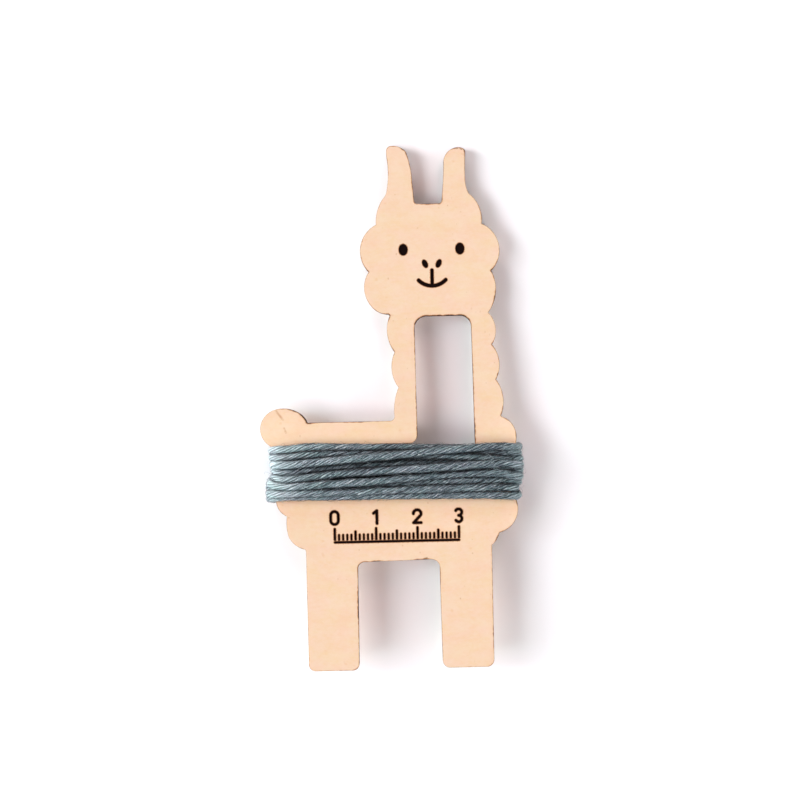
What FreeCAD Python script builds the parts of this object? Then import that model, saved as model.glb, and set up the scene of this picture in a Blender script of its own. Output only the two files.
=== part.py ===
import FreeCAD, Part
import os
import math

# Flat wooden pom pom maker: a board of three glued wood plies cut to the
# outline of a standing llama, with one length of yarn wound round its body.
# The board lies flat: +X to the right across the body, +Y from the feet to
# the ears, +Z up through the thickness.  The origin is at the middle of the
# outside box, at the height the part stands on.  All lengths in millimetres.

# ------------------------------------------------------------------ sizes
veneer_t = 0.6            # each face veneer
core_t = 1.8              # middle ply, its grain across the others
yarn_t = 3.6              # two nested layers of yarn on each face
engrave_d = 0.18          # depth of the burnt lines
line_w = 0.75             # burnt line, face
scale_w = 0.42            # burnt line, scale and figures

# the winding: outside ends, and the hole that clears the board
wind_left, wind_right = -33.0, 29.6
hole_left, hole_right = -31.15, 28.0
wind_top, wind_bottom = -8.98, -22.35
wind_corner = 3.3         # rounding of the turns over the board's edges

# drawing datum: moves the outline so that the outside box is centred
board_left = -33.9
y_high, y_low = 63.65, -62.95
datum_x = -(board_left + wind_right) / 2.0
datum_y = -(y_high + y_low) / 2.0

z_back = yarn_t                       # underside of the board
z_core = z_back + veneer_t
z_front_ply = z_core + core_t
z_front = z_front_ply + veneer_t      # upper face of the board

# ---------------------------------------------------------------- outline
# ("L", end) is a straight edge, ("A", through, end) an arc.  Clockwise.
start = (-3.15, 50.75)
outline = [
    # left ear
    ("A", (-2.48, 51.60), (-2.10, 52.80)),
    ("A", (-1.68, 56.50), (-1.85, 60.30)),
    ("A", (-1.98, 61.30), (-2.00, 62.30)),
    ("A", (-1.72, 63.18), (-0.90, 63.60)),
    ("A", (0.60, 63.48), (2.00, 62.80)),
    ("A", (2.62, 62.28), (2.95, 61.60)),
    ("A", (3.66, 58.90), (4.05, 56.00)),
    ("L", (4.47, 50.40)),
    ("A", (4.70, 49.75), (5.30, 49.48)),
    # between the ears
    ("L", (10.30, 49.48)),
    ("A", (10.90, 49.70), (11.15, 50.30)),
    # right ear
    ("A", (11.60, 54.70), (11.82, 59.60)),
    ("A", (12.10, 60.80), (12.80, 61.80)),
    ("A", (13.55, 62.42), (14.50, 62.82)),
    ("A", (15.45, 62.95), (16.30, 62.75)),
    ("A", (16.90, 62.38), (17.10, 61.70)),
    ("A", (16.93, 57.80), (17.00, 54.30)),
    ("A", (17.30, 52.90), (17.78, 51.70)),
    # fleece scallops down the right of the head and neck
    ("A", (20.22, 48.45), (20.70, 44.35)),
    ("A", (24.78, 39.21), (22.80, 32.95)),
    ("A", (23.79, 27.76), (21.85, 22.85)),
    ("A", (23.57, 19.11), (22.60, 15.10)),
    ("A", (24.27, 11.00), (23.40, 6.65)),
    ("A", (25.01, 2.43), (24.42, -2.10)),
    ("L", (24.65, -2.38)),
    # chest
    ("A", (27.31, -4.60), (27.95, -8.10)),
    ("A", (27.72, -9.20), (27.20, -10.15)),
    ("A", (27.80, -14.40), (26.25, -20.30)),
    ("A", (28.03, -24.57), (23.42, -30.40)),
    ("A", (22.80, -31.80), (22.00, -32.98)),
    ("L", (21.52, -33.35)),
    # right leg
    ("L", (21.50, -60.95)),
    ("A", (20.95, -62.22), (19.65, -62.75)),
    ("L", (10.75, -62.75)),
    ("A", (9.55, -62.22), (9.05, -61.00)),
    ("L", (8.80, -38.70)),
    ("A", (8.25, -37.10), (6.80, -36.48)),
    ("L", (-9.30, -36.82)),
    ("A", (-10.52, -37.36), (-11.00, -38.60)),
    # left leg
    ("L", (-11.10, -61.30)),
    ("A", (-11.58, -62.45), (-12.75, -62.95)),
    ("L", (-21.70, -62.95)),
    ("A", (-22.86, -62.46), (-23.35, -61.30)),
    ("L", (-23.44, -34.00)),
    ("L", (-23.62, -33.50)),
    # belly and flank
    ("A", (-25.92, -32.42), (-27.55, -30.40)),
    ("A", (-27.98, -28.10), (-27.88, -25.38)),
    ("A", (-29.55, -24.10), (-30.38, -22.00)),
    ("A", (-30.62, -18.60), (-29.05, -15.40)),
    ("A", (-29.62, -12.30), (-29.74, -9.05)),
    # tail and back
    ("A", (-33.05, -6.90), (-33.90, -4.45)),
    ("A", (-32.92, -1.38), (-30.40, 0.42)),
    ("A", (-27.30, 0.62), (-24.40, -0.48)),
    ("A", (-23.25, -1.50), (-22.52, -2.78)),
    ("L", (-22.30, -2.86)),
    ("L", (-2.50, -2.84)),
    ("A", (-1.68, -2.50), (-1.36, -1.70)),
    # fleece scallops up the left of the neck and head
    ("A", (-1.25, 1.82), (-0.25, 5.20)),
    ("A", (-1.80, 9.37), (-1.00, 13.75)),
    ("A", (-2.69, 18.04), (-2.00, 22.60)),
    ("L", (-2.30, 22.92)),
    ("A", (-4.62, 23.50), (-6.32, 24.90)),
    ("A", (-7.98, 28.60), (-6.85, 33.25)),
    ("A", (-8.75, 39.36), (-4.85, 44.62)),
    ("A", (-4.50, 47.80), (-3.15, 50.75)),
]

# the slot: down the neck, then widening under the back so that a tie can
# pass round the middle of the wound yarn
slot_start = (7.00, 22.30)
slot = [
    ("L", (14.90, 22.30)),
    ("A", (16.90, 21.48), (17.68, 19.40)),
    ("L", (18.05, -18.50)),
    ("A", (17.46, -19.91), (16.05, -20.50)),
    ("L", (-17.50, -20.50)),
    ("A", (-18.91, -19.91), (-19.50, -18.50)),
    ("L", (-19.50, -10.40)),
    ("A", (-18.91, -8.99), (-17.50, -8.40)),
    ("L", (2.05, -8.40)),
    ("A", (3.50, -7.80), (4.12, -6.35)),
    ("L", (3.95, 19.50)),
    ("A", (4.80, 21.44), (7.00, 22.30)),
]


def vec(p, z=0.0):
    return FreeCAD.Vector(p[0] + datum_x, p[1] + datum_y, z)


def wire(first, items):
    edges = []
    a = first
    for item in items:
        b = item[-1]
        if item[0] == "L":
            edges.append(Part.LineSegment(vec(a), vec(b)).toShape())
        else:
            edges.append(Part.Arc(vec(a), vec(item[1]), vec(b)).toShape())
        a = b
    return Part.Wire(edges)


def plate(z, t):
    """The full outline with the slot cut out, from z to z + t."""
    outer = Part.Face(wire(start, outline))
    inner = Part.Face(wire(slot_start, slot))
    body = outer.extrude(FreeCAD.Vector(0, 0, t))
    hole = inner.extrude(FreeCAD.Vector(0, 0, t + 2.0))
    hole.translate(FreeCAD.Vector(0, 0, -1.0))
    s = body.cut(hole)
    s.translate(FreeCAD.Vector(0, 0, z))
    return s.Solids[0]


# --------------------------------------------------------------- engraving
groove_h = 1.0
groove_z = z_front - engrave_d


def line_cut(p, q, w):
    """Burnt straight line with round ends."""
    a, b = vec(p, groove_z), vec(q, groove_z)
    d = b.sub(a)
    n = FreeCAD.Vector(-d.y, d.x, 0).normalize().multiply(w / 2.0)
    pts = [a.add(n), b.add(n), b.sub(n), a.sub(n), a.add(n)]
    box = Part.Face(Part.makePolygon(pts)).extrude(
        FreeCAD.Vector(0, 0, groove_h))
    ends = [Part.makeCylinder(w / 2.0, groove_h, c) for c in (a, b)]
    return box.fuse(ends).removeSplitter()


def arc_cut(c, r, a0, a1, w):
    """Burnt arc with round ends; angles in degrees, a0 < a1."""
    ro, ri = r + w / 2.0, r - w / 2.0
    c3 = vec(c, groove_z)
    if a1 - a0 >= 360.0:
        return Part.makeCylinder(ro, groove_h, c3).cut(
            Part.makeCylinder(ri, groove_h, c3))

    def at(rad, ang):
        t = math.radians(ang)
        return c3.add(FreeCAD.Vector(rad * math.cos(t), rad * math.sin(t), 0))
    am = (a0 + a1) / 2.0
    w_ = Part.Wire([
        Part.Arc(at(ro, a0), at(ro, am), at(ro, a1)).toShape(),
        Part.LineSegment(at(ro, a1), at(ri, a1)).toShape(),
        Part.Arc(at(ri, a1), at(ri, am), at(ri, a0)).toShape(),
        Part.LineSegment(at(ri, a0), at(ro, a0)).toShape()])
    band = Part.Face(w_).extrude(FreeCAD.Vector(0, 0, groove_h))
    ends = [Part.makeCylinder(w / 2.0, groove_h, at(r, a)) for a in (a0, a1)]
    return band.fuse(ends).removeSplitter()


def ring_cut(c, rx, ry, w):
    """Burnt upright ring with straight sides and round top and foot."""
    def loop(e):
        x, y = rx + e, ry + e
        k = y - x

        def pt(px, py):
            return vec((c[0] + px, c[1] + py), groove_z)
        return Part.Face(Part.Wire([
            Part.Arc(pt(-x, k), pt(0, y), pt(x, k)).toShape(),
            Part.LineSegment(pt(x, k), pt(x, -k)).toShape(),
            Part.Arc(pt(x, -k), pt(0, -y), pt(-x, -k)).toShape(),
            Part.LineSegment(pt(-x, -k), pt(-x, k)).toShape()])).extrude(
                FreeCAD.Vector(0, 0, groove_h))
    return loop(w / 2.0).cut(loop(-w / 2.0))


def oval_cut(c, rx, ry, tilt):
    """Burnt solid oval, rx across and ry up, turned by tilt degrees."""
    major, minor, turn = (ry, rx, 90.0) if ry > rx else (rx, ry, 0.0)
    e = Part.Ellipse(FreeCAD.Vector(0, 0, 0), major, minor)
    f = Part.Face(Part.Wire([e.toShape()]))
    f.rotate(FreeCAD.Vector(0, 0, 0), FreeCAD.Vector(0, 0, 1), turn + tilt)
    f.translate(vec(c, groove_z))
    return f.extrude(FreeCAD.Vector(0, 0, groove_h))


face_x = 8.45             # middle of the face
eye_y, eye_dx = 38.45, 6.85
nose_y, nose_dx = 34.95, 1.65
mouth_y, mouth_r = 34.15, 4.55

cuts = []
for side in (-1, 1):
    # round open eye, and a slanted nostril
    cuts.append(oval_cut((face_x + side * eye_dx, eye_y), 1.02, 1.34, 0))
    cuts.append(oval_cut((face_x + side * nose_dx, nose_y), 0.56, 1.00,
                         side * -24))
# mouth: one wide smile with a stem up towards the nose
cuts.append(arc_cut((face_x, mouth_y), mouth_r, 224.0, 316.0, line_w))
cuts.append(line_cut((face_x, nose_y - 1.55), (face_x, mouth_y - mouth_r),
                     line_w * 0.86))

# centimetre scale across the belly, 0 to 3
scale_x0, scale_y = -16.4, -31.9
scale_cuts = [line_cut((scale_x0, scale_y), (scale_x0 + 30.0, scale_y),
                       scale_w)]
for i in range(31):
    h = 2.6 if i % 10 == 0 else (1.9 if i % 5 == 0 else 1.15)
    x = scale_x0 + i
    # each tick starts just above the base line, clear of it
    scale_cuts.append(line_cut((x, scale_y + 0.62),
                               (x, scale_y + 0.62 + h),
                               0.36 if i % 5 else scale_w))
fig_y = scale_y + 4.35    # foot of the figures
fw, fh = 0.92, 3.1        # half width and height of a figure


def figure(n, x):
    y = fig_y
    w = 0.5
    if n == 0:
        return [ring_cut((x, y + fh / 2.0), fw, fh / 2.0, w)]
    if n == 1:
        return [line_cut((x + 0.25, y), (x + 0.25, y + fh), w),
                line_cut((x + 0.25, y + fh), (x - 0.55, y + fh - 0.62), w)]
    if n == 2:
        t = math.radians(-32.0)
        bend = (x + (fw - 0.04) * math.cos(t),
                y + fh - fw + (fw - 0.04) * math.sin(t))
        return [arc_cut((x, y + fh - fw), fw, -20, 180, w),
                line_cut(bend, (x - fw + 0.06, y + 0.03), w),
                line_cut((x - fw, y), (x + fw, y), w)]
    r = fh / 4.0
    return [arc_cut((x, y + 3 * r), r, -90, 150, w),
            arc_cut((x, y + r), r, -150, 90, w)]


for n in range(4):
    scale_cuts += figure(n, scale_x0 + 10.0 * n)

# ------------------------------------------------------------------ pieces
front = plate(z_front_ply, veneer_t)
for tool in cuts + scale_cuts:
    front = front.cut(tool)
front = front.Solids[0]
core = plate(z_core, core_t)
back = plate(z_back, veneer_t)

# the winding: one closed band round the body, its hole clear of the edges
# and its long faces against the board
wx0, wx1 = wind_left + datum_x, wind_right + datum_x
wy0, wy1 = wind_bottom + datum_y, wind_top + datum_y
wind_h = 2.0 * yarn_t + 2.0 * veneer_t + core_t
band = Part.makeBox(wx1 - wx0, wy1 - wy0, wind_h,
                    FreeCAD.Vector(wx0, wy0, 0))
corner = [e for e in band.Edges
          if abs(e.Vertexes[0].X - e.Vertexes[1].X) < 1e-6
          and abs(e.Vertexes[0].Z - e.Vertexes[1].Z) < 1e-6]
band = band.makeFillet(wind_corner, corner)
hole = Part.makeBox(hole_right - hole_left, wy1 - wy0 + 4.0,
                    z_front - z_back,
                    FreeCAD.Vector(hole_left + datum_x, wy0 - 2.0, z_back))
winding = band.cut(hole).Solids[0]

pieces = {
    "front_veneer": front,
    "core_ply": core,
    "back_veneer": back,
    "yarn_winding": winding,
}

# -------------------------------------------------------------------- yarn
# Length of yarn held by the winding: nine turns, each once round the board.
turns = 9
round_board = 2.0 * (hole_right - hole_left) + 2.0 * (z_front - z_back) + 6.3

os.makedirs("parts", exist_ok=True)
for name, shape in pieces.items():
    if not shape.isValid() or len(shape.Solids) != 1:
        raise SystemExit(name + " isn't one valid solid")
    shape.exportStep("parts/" + name + ".step")
    bb = shape.BoundBox
    print("%-13s x %.2f %.2f  y %.2f %.2f  z %.2f %.2f  volume %.0f" % (
        name, bb.XMin, bb.XMax, bb.YMin, bb.YMax, bb.ZMin, bb.ZMax,
        shape.Volume))
print("yarn about %.0f mm in %d turns" % (turns * round_board, turns))
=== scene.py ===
import math

import bpy
import numpy as np
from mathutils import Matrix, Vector, noise
from mathutils.geometry import delaunay_2d_cdt
from mathutils.kdtree import KDTree


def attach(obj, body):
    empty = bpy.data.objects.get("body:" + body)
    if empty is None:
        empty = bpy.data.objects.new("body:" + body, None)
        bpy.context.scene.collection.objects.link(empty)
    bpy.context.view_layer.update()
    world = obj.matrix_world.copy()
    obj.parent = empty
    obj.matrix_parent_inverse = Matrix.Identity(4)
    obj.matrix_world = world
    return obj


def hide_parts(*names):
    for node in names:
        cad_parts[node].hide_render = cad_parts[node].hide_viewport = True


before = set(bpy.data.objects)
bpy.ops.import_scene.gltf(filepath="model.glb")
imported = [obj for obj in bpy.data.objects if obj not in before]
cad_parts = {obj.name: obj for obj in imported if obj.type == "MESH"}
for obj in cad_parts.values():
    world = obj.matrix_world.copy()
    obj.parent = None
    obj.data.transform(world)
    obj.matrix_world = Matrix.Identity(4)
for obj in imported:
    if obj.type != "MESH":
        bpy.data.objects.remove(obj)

MM = 0.001
scene = bpy.context.scene
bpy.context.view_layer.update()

# ================================================================== camera
FACE_Z = 6.6             # upper face of the board
SPAN = 193.3             # what the picture's side covers at that height
DISTANCE = 600.0         # from the camera to the board's face
LOOK_X, LOOK_Y = 2.20, 1.82
TURN = -1.25             # degrees: the object lies slightly turned

cam_data = bpy.data.cameras.new("camera")
cam_data.sensor_width = 36.0
cam_data.lens = 36.0 * DISTANCE / SPAN
cam_data.clip_start, cam_data.clip_end = 0.01, 50.0
camera = bpy.data.objects.new("camera", cam_data)
camera.location = (LOOK_X * MM, LOOK_Y * MM, (FACE_Z + DISTANCE) * MM)
camera.rotation_euler = (0.0, 0.0, math.radians(TURN))
scene.collection.objects.link(camera)
scene.camera = camera

# ==================================================================== yarn
# One length of yarn, from the end trapped behind the winding, nine times
# round the body, to the other end on the back: control points of its line.
YARN_D = 1.9
ROUTE = [
    (8.29, -11.65, 2.74), (1.90, -11.54, 2.73), (-5.25, -11.43, 2.74), (-11.53, -10.96, 2.75),
    (-18.52, -10.35, 2.72), (-24.21, -9.96, 2.76), (-28.22, -9.92, 2.70), (-29.07, -9.97, 2.88),
    (-29.08, -10.05, 4.01), (-29.08, -9.80, 5.82), (-28.75, -9.68, 7.00), (-26.81, -9.57, 7.60),
    (-25.43, -9.56, 7.62), (-19.91, -8.92, 7.89), (-11.46, -9.36, 7.97), (1.83, -9.63, 7.97),
    (13.94, -9.98, 7.92), (22.45, -10.83, 7.87), (26.46, -11.44, 7.66), (27.76, -11.39, 7.64),
    (27.12, -11.31, 7.18), (30.43, -11.51, 7.70), (30.58, -11.56, 2.03), (27.62, -11.46, 2.78),
    (28.65, -11.28, 2.70), (27.66, -10.98, 2.74), (20.15, -10.50, 2.73), (11.16, -9.99, 2.73),
    (2.17, -9.79, 2.76), (-6.83, -10.13, 1.38), (-15.88, -10.85, 0.84), (-24.35, -11.49, 1.84),
    (-26.85, -11.70, 2.95), (-27.63, -11.64, 2.33), (-28.99, -11.58, 3.32), (-29.00, -11.53, 6.40),
    (-27.54, -11.50, 7.44), (-25.63, -11.53, 7.54), (-24.33, -11.34, 7.63), (-19.93, -10.94, 7.88),
    (-11.46, -10.98, 7.97), (1.83, -11.36, 8.06), (13.96, -11.92, 8.49), (22.44, -12.49, 8.55),
    (27.02, -13.11, 8.24), (28.32, -13.20, 7.75), (28.60, -13.18, 7.35), (30.81, -12.97, 7.29),
    (30.98, -13.00, 2.90), (28.84, -13.28, 2.48), (28.87, -13.30, 2.78), (27.65, -13.47, 2.72),
    (20.17, -13.92, 2.72), (11.17, -14.66, 2.75), (2.07, -15.49, 2.70), (-7.00, -15.99, 2.78),
    (-15.89, -15.60, 2.70), (-24.36, -15.01, 2.74), (-26.47, -14.65, 2.70), (-26.22, -14.49, 2.74),
    (-28.54, -14.49, 2.58), (-28.59, -14.73, 7.09), (-26.25, -14.94, 7.25), (-25.30, -15.06, 7.56),
    (-24.00, -15.14, 7.62), (-19.91, -14.49, 7.89), (-11.46, -13.94, 7.97), (1.86, -13.42, 7.96),
    (13.89, -13.53, 7.93), (22.22, -14.27, 8.16), (26.92, -14.85, 8.26), (28.22, -15.19, 8.07),
    (27.98, -15.42, 7.39), (30.77, -15.72, 7.63), (30.90, -15.83, 2.38), (27.94, -15.56, 2.76),
    (29.08, -15.43, 2.70), (27.66, -15.42, 2.74), (20.23, -15.66, 2.73), (11.26, -16.28, 2.74),
    (2.26, -17.04, 2.73), (-6.88, -17.57, 2.74), (-15.90, -18.03, 2.73), (-24.36, -18.50, 2.74),
    (-27.79, -18.74, 2.71), (-27.08, -18.74, 2.74), (-29.83, -18.65, 2.49), (-29.81, -18.68, 7.33),
    (-26.69, -18.86, 7.14), (-26.45, -18.88, 7.59), (-25.15, -18.81, 7.62), (-19.88, -18.64, 7.88),
    (-11.37, -18.42, 7.97), (2.04, -18.27, 7.96), (14.06, -18.02, 7.93), (22.45, -17.87, 7.86),
    (26.37, -17.82, 7.68), (27.67, -17.86, 7.52), (28.44, -18.00, 7.47), (30.33, -18.45, 7.23),
    (30.37, -18.64, 2.82), (28.98, -18.32, 2.67), (28.74, -18.22, 2.74), (27.68, -18.22, 2.74),
    (20.17, -18.46, 2.72), (11.17, -18.94, 2.74), (2.12, -19.53, 2.74), (-6.90, -20.15, 2.72),
    (-15.88, -20.73, 2.74), (-24.37, -21.14, 2.72), (-28.19, -21.34, 2.77), (-28.26, -21.43, 2.52),
    (-29.88, -21.49, 2.89), (-29.89, -21.14, 6.90), (-27.92, -21.09, 7.43), (-26.74, -21.01, 7.54),
    (-25.38, -20.91, 7.64), (-19.90, -21.02, 7.89), (-11.41, -21.10, 7.97), (1.86, -21.15, 7.97),
    (13.93, -21.27, 7.92), (22.37, -21.50, 8.17), (26.38, -21.66, 8.12), (27.68, -21.79, 7.74),
    (29.81, -21.90, 7.30), (30.32, -21.70, 6.20), (30.14, -21.49, 3.82), (30.47, -21.53, 2.32),
    (28.80, -21.51, 1.56), (27.63, -21.47, 2.02), (20.15, -21.22, 2.13), (11.15, -20.92, 2.11),
    (2.22, -20.64, 1.53), (-6.80, -20.33, 1.07), (-15.82, -20.05, 1.26), (-24.33, -19.95, 1.62),
    (-28.64, -20.02, 1.50), (-30.15, -20.07, 1.87), (-29.85, -20.07, 4.46), (-29.81, -20.16, 5.37),
    (-29.90, -20.24, 8.04), (-27.24, -20.26, 8.98), (-25.77, -20.18, 8.97), (-19.93, -20.10, 9.10),
    (-11.50, -20.06, 8.86), (1.82, -19.83, 8.65), (13.90, -19.74, 8.50), (22.37, -19.68, 8.21),
    (26.46, -19.73, 7.75), (27.76, -19.81, 8.05), (29.53, -19.92, 7.64), (29.79, -19.97, 5.64),
    (29.90, -20.05, 3.89), (29.42, -20.15, 2.79), (28.40, -19.93, 2.44), (27.63, -19.71, 1.88),
    (20.13, -19.42, 1.28), (11.13, -19.08, 0.99), (2.12, -18.84, 1.16), (-6.79, -18.69, 1.56),
    (-15.80, -18.43, 1.04), (-24.35, -18.00, 1.05), (-28.39, -17.54, 1.47), (-29.49, -17.18, 1.25),
    (-29.39, -17.09, 3.19), (-29.50, -17.73, 7.40), (-29.20, -18.08, 8.71), (-26.55, -18.41, 8.73),
    (-25.23, -18.63, 9.10), (-19.97, -18.33, 9.45), (-11.56, -17.93, 9.46), (1.61, -17.23, 8.84),
    (13.76, -16.38, 8.12), (22.28, -16.05, 8.37), (27.10, -16.29, 9.04), (28.40, -16.86, 8.94),
    (30.70, -17.07, 8.34), (30.62, -17.14, 5.55), (30.60, -17.18, 4.44), (30.86, -17.22, 1.81),
    (29.55, -17.02, 1.37), (27.62, -16.86, 1.82), (20.07, -16.91, 1.70), (11.09, -16.96, 1.22),
    (2.09, -16.92, 1.10), (-6.88, -16.87, 1.19), (-15.83, -16.82, 1.53), (-24.33, -16.67, 2.20),
    (-27.11, -16.36, 2.44), (-28.37, -16.08, 2.77), (-28.75, -15.85, 3.95), (-28.82, -16.24, 5.98),
    (-27.85, -16.63, 7.88), (-25.86, -16.92, 8.49), (-24.56, -16.72, 8.73), (-19.92, -16.37, 9.00),
    (-11.46, -15.54, 8.99), (1.79, -15.00, 9.02), (13.87, -14.43, 9.39), (22.37, -14.06, 9.19),
    (27.42, -13.99, 8.92), (28.72, -14.16, 8.97), (30.90, -14.36, 8.56), (30.81, -14.38, 5.07),
    (30.82, -14.40, 4.68), (31.09, -14.43, 1.65), (29.58, -14.41, 1.25), (27.65, -14.47, 1.38),
    (20.13, -14.60, 1.25), (11.11, -14.57, 1.12), (2.20, -14.11, 1.02), (-6.71, -13.40, 0.90),
    (-15.85, -13.18, 2.33), (-24.36, -13.17, 1.87), (-27.48, -13.13, 1.46), (-29.01, -13.17, 2.01),
    (-28.67, -13.12, 4.38), (-28.71, -13.12, 5.56), (-28.73, -13.19, 7.95), (-26.10, -13.24, 8.67),
    (-24.80, -13.25, 8.78), (-19.92, -12.90, 8.85), (-11.46, -12.22, 9.58), (1.83, -11.30, 9.68),
    (13.88, -10.33, 9.51), (22.35, -9.81, 9.22), (26.64, -9.88, 8.59), (27.94, -9.89, 8.57),
    (29.77, -10.07, 8.01), (30.04, -10.26, 5.73), (30.66, -10.14, 4.21), (30.88, -10.13, 1.60),
    (29.54, -10.19, 1.32), (26.13, -10.33, 1.11), (19.16, -10.74, 0.97), (12.09, -11.40, 1.60),
    (5.01, -12.36, 0.72), (-0.97, -13.61, 3.60), (-6.08, -14.98, 1.41),
]


def link(ob):
    scene.collection.objects.link(ob)
    return ob


def mesh_object(name, verts, faces, smooth=True):
    """verts in millimetres."""
    me = bpy.data.meshes.new(name)
    me.from_pydata((np.asarray(verts, float) * MM).tolist(), [], faces)
    me.update()
    me.polygons.foreach_set("use_smooth", [smooth] * len(me.polygons))
    return link(bpy.data.objects.new(name, me))


def point_floats(ob, name, values):
    a = ob.data.attributes.new(name, "FLOAT", "POINT")
    a.data.foreach_set("value", np.asarray(values, np.float32))


def point_vectors(ob, name, values):
    a = ob.data.attributes.new(name, "FLOAT_VECTOR", "POINT")
    a.data.foreach_set("vector", np.asarray(values, np.float32).ravel())


def wander(n, step, wavelength, seed):
    """A smooth random line through n points step apart, about -1 to 1."""
    r = np.random.default_rng(seed)
    m = int(n * step / wavelength) + 5
    knots = r.uniform(-1.0, 1.0, m)
    at = np.arange(n) * step / wavelength + 1.0
    i = np.floor(at).astype(int)
    t = at - i
    p0, p1, p2, p3 = (knots[np.clip(i + k, 0, m - 1)] for k in (-1, 0, 1, 2))
    return ((2 * p1 + (p2 - p0) * t + (2 * p0 - 5 * p1 + 4 * p2 - p3) * t * t
             + (3 * p1 - p0 - 3 * p2 + p3) * t ** 3) * 0.5)


def route_line():
    """The points of the yarn's smooth line."""
    cu = bpy.data.curves.new("yarn_line", "CURVE")
    cu.dimensions = "3D"
    cu.resolution_u = 14
    sp = cu.splines.new("NURBS")
    sp.points.add(len(ROUTE) - 1)
    for p, (x, y, z) in zip(sp.points, ROUTE):
        p.co = (x * MM, y * MM, z * MM, 1.0)
    sp.order_u = 3
    sp.use_endpoint_u = True
    ob = link(bpy.data.objects.new("yarn_line", cu))
    me = bpy.data.meshes.new_from_object(ob)
    pts = np.array([v.co for v in me.vertices], float) / MM
    bpy.data.meshes.remove(me)
    bpy.data.objects.remove(ob)
    bpy.data.curves.remove(cu)
    return pts


STEP = 0.34


def even(line, step):
    d = np.r_[0.0, np.cumsum(np.linalg.norm(np.diff(line, axis=0), axis=1))]
    at = np.linspace(0.0, d[-1], int(round(d[-1] / step)) + 1)
    return np.stack([np.interp(at, d, line[:, k]) for k in range(3)], 1), at


line, along = even(route_line(), STEP)
n_line = len(line)
tangent = np.gradient(line, axis=0)
tangent /= np.linalg.norm(tangent, axis=1)[:, None]
side_a = np.zeros_like(line)
side_b = np.zeros_like(line)
a = np.array([0.0, 1.0, 0.0])
for i in range(n_line):
    a = a - tangent[i] * (a @ tangent[i])
    a /= np.linalg.norm(a)
    side_a[i] = a
    side_b[i] = np.cross(tangent[i], a)

# it lies a little uneven
body = line + side_a * (0.05 * wander(n_line, STEP, 4.1, 90)
                        + 0.03 * wander(n_line, STEP, 1.7, 91))[:, None] \
    + side_b * (0.05 * wander(n_line, STEP, 3.7, 92))[:, None]

PLIES = 8
SIDES = 8
LEAD = 12.4              # one turn of the twist
PLY_R = 0.255
PLY_AT = YARN_D / 2.0 - PLY_R - 0.02
CORE_R = 0.46            # the plies lie round the innermost one
twist = -2.0 * math.pi * (along / LEAD + 0.12 * wander(n_line, STEP, 23.0, 11))
thick = 1.0 + 0.030 * wander(n_line, STEP, 9.0, 12)


def neighbours(reach, most):
    """For each point of the line, where its other turns pass closest by."""
    flat = line.astype(np.float32)
    near = np.full((n_line, most, 3), 1e3, np.float32)
    skip = int(4.0 / STEP)
    for i in range(n_line):
        d = ((flat - flat[i]) ** 2).sum(1)
        d[max(0, i - skip):i + skip] = 1e6
        k = np.where((d[1:-1] < reach * reach) & (d[1:-1] <= d[:-2])
                     & (d[1:-1] < d[2:]))[0] + 1
        k = k[np.argsort(d[k])][:most]
        near[i, :len(k)] = flat[k]
    return near


others = neighbours(3.6, 6)


def shade_of(ring):
    """How much of the sky the other turns and the board hide, 0 to 1, taken
    across the strand."""
    out = ring - line[:, None]
    out /= np.linalg.norm(out, axis=2)[:, :, None]
    e = np.cross(np.broadcast_to(tangent[:, None], out.shape), out)
    th = np.linspace(-1.42, 1.42, 15)
    weight = np.cos(th) / np.cos(th).sum()
    blocked = np.zeros(ring.shape[:2] + (len(th),), bool)
    for q in range(others.shape[1]):
        v = others[:, q][:, None] - ring
        v = v - (v * tangent[:, None]).sum(2)[:, :, None] * tangent[:, None]
        dist = np.linalg.norm(v, axis=2)
        at = np.arctan2((v * e).sum(2), (v * out).sum(2))
        half = np.arcsin(np.clip(0.88 / np.maximum(dist, 1e-6), 0.0, 1.0))
        half = np.where(dist < 0.88, 1.5, half)
        blocked |= np.abs(th - at[:, :, None]) < half[:, :, None]
    # the board is the half space beyond its near face
    down = np.where(line[:, 2] > 6.6, -1.0, np.where(line[:, 2] < 3.6, 1.0, 0.0))
    cosine = (np.cos(th)[None, None] * out[:, :, 2:3]
              + np.sin(th)[None, None] * e[:, :, 2:3])
    blocked |= cosine * down[:, None, None] > 0.06
    return (blocked * weight).sum(2)


def tube(centre, out, rad, first):
    """Ring points of a ply and its faces, with closed ends."""
    run = np.gradient(centre, axis=0)
    run /= np.linalg.norm(run, axis=1)[:, None]
    e1 = out - run * (out * run).sum(1)[:, None]
    e1 /= np.linalg.norm(e1, axis=1)[:, None]
    e2 = np.cross(run, e1)
    ang = np.arange(SIDES) * 2.0 * math.pi / SIDES
    ring = (centre[:, None] + rad[:, None, None] * (
        np.cos(ang)[None, :, None] * e1[:, None]
        + np.sin(ang)[None, :, None] * e2[:, None]))
    i = np.arange(n_line - 1)[:, None] * SIDES
    j = np.arange(SIDES)[None, :]
    j2 = (j + 1) % SIDES
    quads = np.stack([i + j, i + j2, i + SIDES + j2, i + SIDES + j], 2)
    faces = (quads.reshape(-1, 4) + first).tolist()
    faces.append([first + q for q in range(SIDES)][::-1])
    faces.append([first + (n_line - 1) * SIDES + q for q in range(SIDES)])
    return ring, faces, ang


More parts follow.
